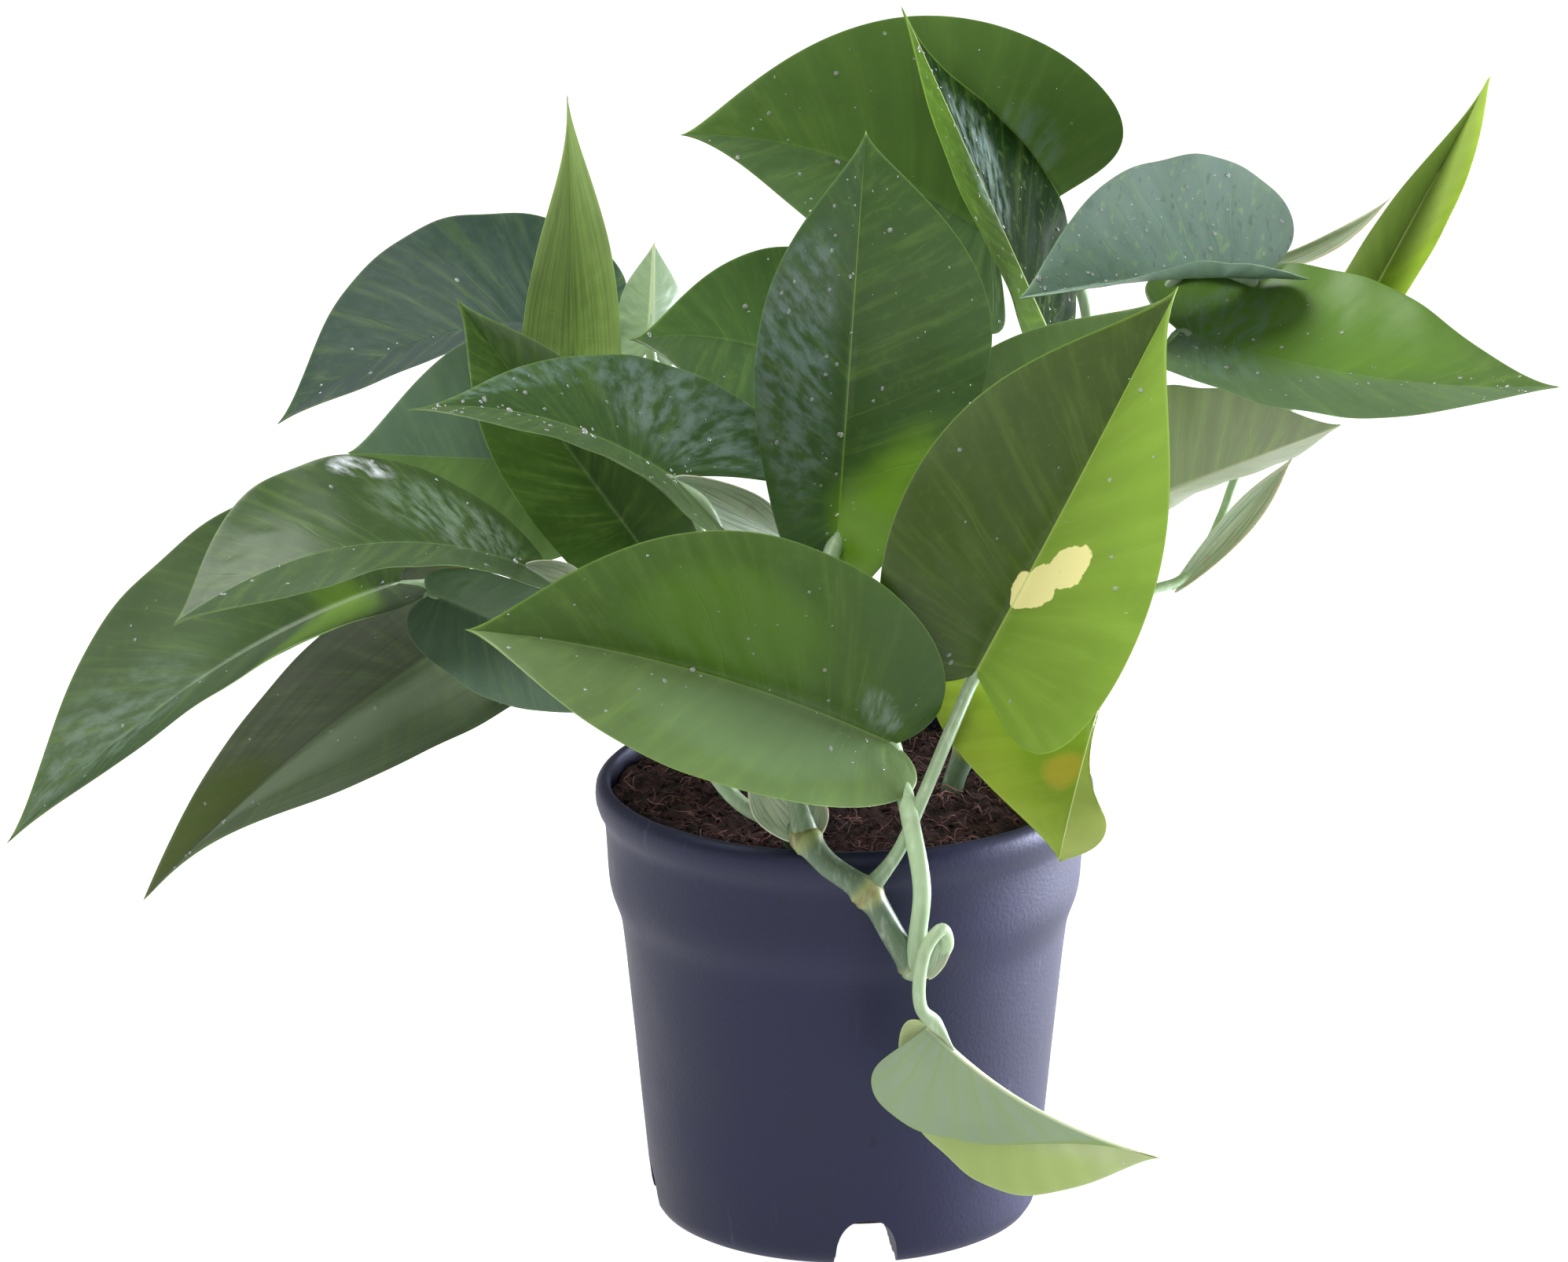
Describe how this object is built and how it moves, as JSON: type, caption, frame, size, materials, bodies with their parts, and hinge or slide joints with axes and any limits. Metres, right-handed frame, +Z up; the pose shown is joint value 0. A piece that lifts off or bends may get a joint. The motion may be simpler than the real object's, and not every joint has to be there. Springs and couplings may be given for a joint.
{
  "type": "potted pothos plant",
  "caption": "Young pothos with glossy heart-shaped leaves on long petioles, rooted in peat in a tapered plastic nursery pot, with a vine hanging over the rim.",
  "frame": {"origin": "middle of the pot's flat underside, on the pot's axis", "axes": "+Z up along the pot's axis; the plant's best side, with the vine that hangs over the rim, looks towards -Y; +X to the right of a viewer who looks along +Y"},
  "size_m": [0.3992, 0.2527, 0.3191],
  "materials": {
    "pot": "satin slate blue-violet polypropylene",
    "soil": null,
    "stem": null,
    "leaf": null,
    "young_leaf": null
  },
  "bodies": {
    "root": {"pot": "pot", "soil": "soil", "vine_front": "stem", "vine_left": "stem", "vine_back_left": "stem", "vine_back": "stem", "vine_right": "stem", "leaf_front": "leaf", "leaf_cream": "young_leaf", "leaf_yellow": "young_leaf", "leaf_top": "leaf", "leaf_crest": "leaf", "leaf_gray": "leaf", "leaf_centre": "leaf", "leaf_sheen": "leaf", "leaf_behind": "leaf", "leaf_dark": "leaf", "leaf_left": "leaf", "leaf_farleft": "leaf", "leaf_lowleft": "leaf", "leaf_under": "leaf", "leaf_backleft": "leaf", "leaf_spear": "young_leaf", "leaf_pale": "young_leaf", "leaf_midback": "leaf", "leaf_right": "leaf", "leaf_pink": "young_leaf", "leaf_upright": "young_leaf", "leaf_shade": "leaf", "leaf_rear_right": "leaf", "leaf_rear_mid": "leaf", "leaf_hanging": "leaf"}
  },
  "joints": []
}
